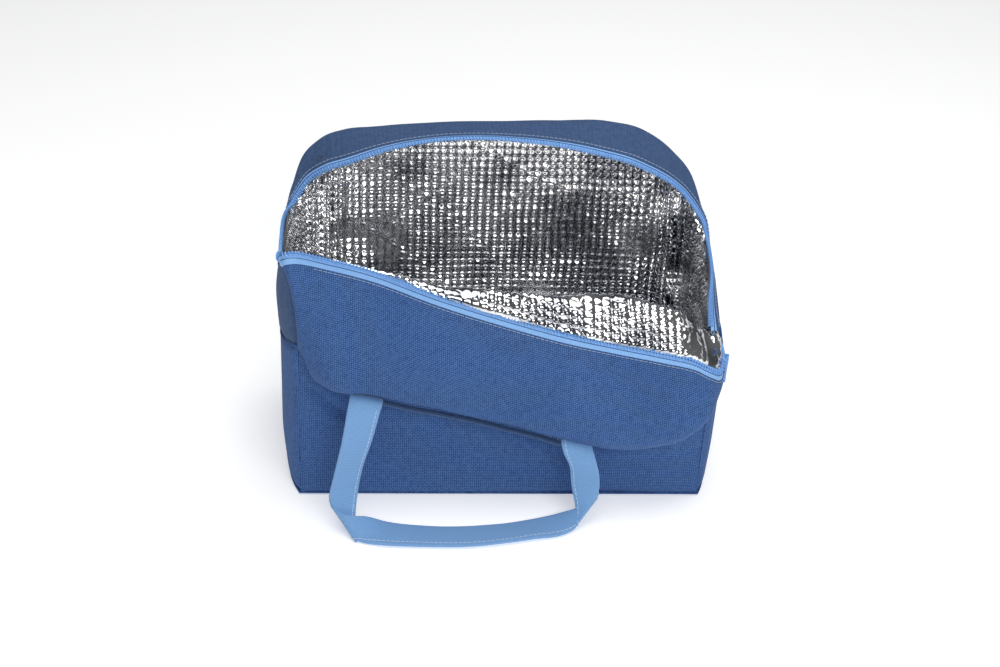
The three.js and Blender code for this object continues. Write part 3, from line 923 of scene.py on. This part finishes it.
# ---- handles ----
def strap_mesh(name, rows, material):
    """Flat webbing through the rows: each has its middle, and the way from there to the stitched edge."""
    count = 420
    both = curve(np.array([middle + half for middle, half in rows], float), count)
    centre, across = both[:, :3], both[:, 3:]
    out = unit(np.cross(unit(np.gradient(centre, axis=0)), across))
    deep = STRAP_THICK / 2
    top = [(t, deep) for t in np.linspace(0.94, -0.94, 15)]
    left = [(-0.94 - 0.06 * math.cos(a), deep * math.sin(a)) for a in (0.9, 0, -0.9)]
    ring = np.array(top + left + [(-x, -y) for x, y in top + left])
    waves = 0.5 * noise(centre, 24, 61)[:, None, None] * ring[None, :, :1]
    spread_out = across[:, None] * ring[None, :, :1]
    grid = centre[:, None] + spread_out + out[:, None] * (ring[None, :, 1:] + waves)
    closed = np.concatenate([grid, grid[:, :1]], axis=1)
    u, v = arcs(closed)
    uv = np.stack([u.ravel(), v.ravel()], axis=1)
    faces = grid_faces(*closed.shape[:2])
    length, columns = closed.shape[:2]
    faces.append(list(range(columns - 1)))
    faces.append([(length - 1) * columns + k for k in range(columns - 1)][::-1])
    strap = mesh_object(name, closed.reshape(-1, 3), faces, material, uv)
    return strap, centre + across * 0.75, out


FRONT_HANDLE = [
    ((-112, -95.5, 140), (13.5, 0, 0)),
    ((-115, -97.5, 126), (13.5, 0, -2.5)),
    ((-116, -106, 115.2), (13.5, 0, -3)),
    ((-116.5, -116, 114.5), (13.5, 0, -3)),
    ((-118.5, -122, 108), (13.3, 0.5, -2)),
    ((-123.5, -128, 84), (12.6, 4, -1)),
    ((-131, -131, 54), (11.5, 6, -1)),
    ((-134.5, -134, 36), (11.5, 4, -3)),
    ((-136, -140, 22), (11, -3, -9)),
    ((-134.5, -147.5, 13), (10.5, -9, -12)),
    ((-128, -151.5, 11), (5.8, -6, -9.5)),
    ((-115, -150.5, 8), (0.5, -10.5, -6)),
    ((-99, -151, 4.8), (-0.5, -13.3, -1.5)),
    ((-72, -152.5, 3.4), (0, -13.5, 0)),
    ((-35, -153, 3.2), (0, -13.5, 0)),
    ((0, -148.5, 3.2), (-1, -13.4, 0)),
    ((26, -143, 3.8), (-1.5, -13.4, 0)),
    ((46, -139, 5), (-2.5, -13, -2)),
    ((60, -137, 9), (-5.5, -10, -6)),
    ((70, -134, 15), (-10, -8, -10)),
    ((71, -128, 23), (-9.5, -1, -9.5)),
    ((69, -124.5, 37), (-11.5, 4, -3)),
    ((67, -123, 52), (-12, 4, 0)),
    ((62.5, -121, 64), (-13.2, 1.5, 1)),
    ((60, -115, 71.5), (-13.3, 0, 2.5)),
    ((60, -106, 71), (-13.3, 0, 2.5)),
    ((60, -97.5, 84), (-13.3, 0, 2.5)),
    ((60, -95.5, 98), (-13.3, 0, 2.5)),
]
REAR_LEG = [
    ((-84, 92.5, 150), (13.5, 0, 0)),
    ((-84, 97.5, 138), (13.5, 0, 0)),
    ((-86, 100, 100), (13.5, 0, 0)),
    ((-89, 105, 56), (13.5, 0, 0)),
    ((-91, 112, 30), (12, 4, -2)),
    ((-86, 121, 13), (9, 8.5, -4.5)),
    ((-72, 129, 6), (4, 12.7, -1.5)),
    ((-52, 134, 4), (0.5, 13.5, 0)),
    ((-24, 137, 3.5), (0, 13.5, 0)),
]


def mirrored(rows):
    return [((-x, y, z), (-a, b, c)) for (x, y, z), (a, b, c) in rows[::-1]]


def build_front_handle():
    strap, edge, out = strap_mesh("front_handle_webbing", FRONT_HANDLE, WEBBING)
    rows = [
        stitches("front_handle_stitching", edge + out * 1.25, out, STRAP_THREAD, 0.1, 0.93, 0.42),
        stitches("front_handle_stitching_back", edge - out * 1.25, -out, STRAP_THREAD, 0.1, 0.93, 0.42),
    ]
    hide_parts("front_handle", "front_strap_end_left", "front_strap_end_right")
    for piece in [strap] + rows:
        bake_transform(piece)


def build_rear_handle():
    strap, edge, out = strap_mesh("rear_handle_webbing", REAR_LEG + mirrored(REAR_LEG), WEBBING)
    sewn_row = stitches("rear_handle_stitching", edge + out * 1.25, out, STRAP_THREAD, 0.05, 0.95, 0.42)
    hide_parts("rear_handle")
    for piece in (strap, sewn_row):
        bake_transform(piece)


def build_base():
    x = np.linspace(-1, 1, 160)[:, None]
    y = np.linspace(-1, 1, 80)[None, :]
    half_length = WIDTH / 2 + 12.5 * (1 - np.abs(y) ** 3.5) - 0.8
    grid = grid_of(x * half_length, y * 89.2, 2.4)
    lower = grid - np.array([0, 0, 1.4])
    panel = slab("base_canvas", grid, lower, CANVAS)
    place(panel, "canvas", "base_panel")


def finish_cad_nodes():
    """Materials for the small CAD parts that show as they are, and for the stiffeners inside the base."""
    finishes = {
        "zip_slider": COIL, "zip_pull": COIL, "zip_end_tab": TAPE, "zip_end_stop": COIL,
        "base_board": BOARD, "base_foam": FOAM,
    }
    for name, material in finishes.items():
        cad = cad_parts[name]
        cad.data.materials.clear()
        cad.data.materials.append(material)


# ---- stage, lights and camera ----
def build_stage():
    half = 6000
    corners = [(-half, -half, -0.3), (half, -half, -0.3), (half, half, -0.3), (-half, half, -0.3)]
    white = plain_material("white_floor", (0.93, 0.93, 0.93, 1), 0.75, grain=0.002)
    shader = white.node_tree.nodes["Principled BSDF"]
    shader.inputs["Emission Color"].default_value = (1, 1, 1, 1)
    shader.inputs["Emission Strength"].default_value = 0.38
    floor = mesh_object("floor", np.array(corners, float), [[0, 1, 2, 3]], white)


def area_light(name, place_at, size, power, aim=(0, 0, 120)):
    data = bpy.data.lights.new(name, "AREA")
    data.shape = "RECTANGLE"
    data.size, data.size_y = size[0] * MM, size[1] * MM
    data.energy = power
    light = bpy.data.objects.new(name, data)
    light.location = Vector(place_at) * MM
    light.rotation_euler = (Vector(aim) - Vector(place_at)).to_track_quat("-Z", "Y").to_euler()
    bpy.context.scene.collection.objects.link(light)


def build_lights():
    area_light("ceiling", (100, -100, 2300), (2600, 1500), 39)
    area_light("key", (400, -1650, 1200), (1500, 550), 17)
    world = bpy.data.worlds.new("studio")
    world.use_nodes = True
    background = world.node_tree.nodes["Background"]
    background.inputs["Color"].default_value = (0.95, 0.97, 1, 1)
    background.inputs["Strength"].default_value = 0.12
    bpy.context.scene.world = world
    bpy.context.scene.view_settings.view_transform = "Standard"


def build_camera():
    azimuth, elevation, roll = math.radians(-4.5), math.radians(30), math.radians(-2.81)
    distance = 1500
    target = Vector((0, 0, 130))
    away = Vector((
        math.sin(azimuth) * math.cos(elevation),
        -math.cos(azimuth) * math.cos(elevation),
        math.sin(elevation),
    ))
    right = Vector((math.cos(azimuth), math.sin(azimuth), 0))
    up = away.cross(right)
    turned_right = math.cos(roll) * right - math.sin(roll) * up
    turned_up = math.sin(roll) * right + math.cos(roll) * up
    data = bpy.data.cameras.new("camera")
    data.lens = 61.33
    data.shift_x, data.shift_y = -0.0009, -0.0188
    camera = bpy.data.objects.new("camera", data)
    turn = Matrix((turned_right, turned_up, away)).transposed().to_4x4()
    camera.matrix_world = Matrix.Translation((target + distance * away) * MM) @ turn
    bpy.context.scene.collection.objects.link(camera)
    bpy.context.scene.camera = camera


build_base()
build_lower_walls()
hood = build_hood()
build_lining()
flap = build_flap()
build_flap_roll()
build_flap_lip()
build_zip(hood, flap)
build_front_handle()
build_rear_handle()
finish_cad_nodes()
build_stage()
build_lights()
build_camera()
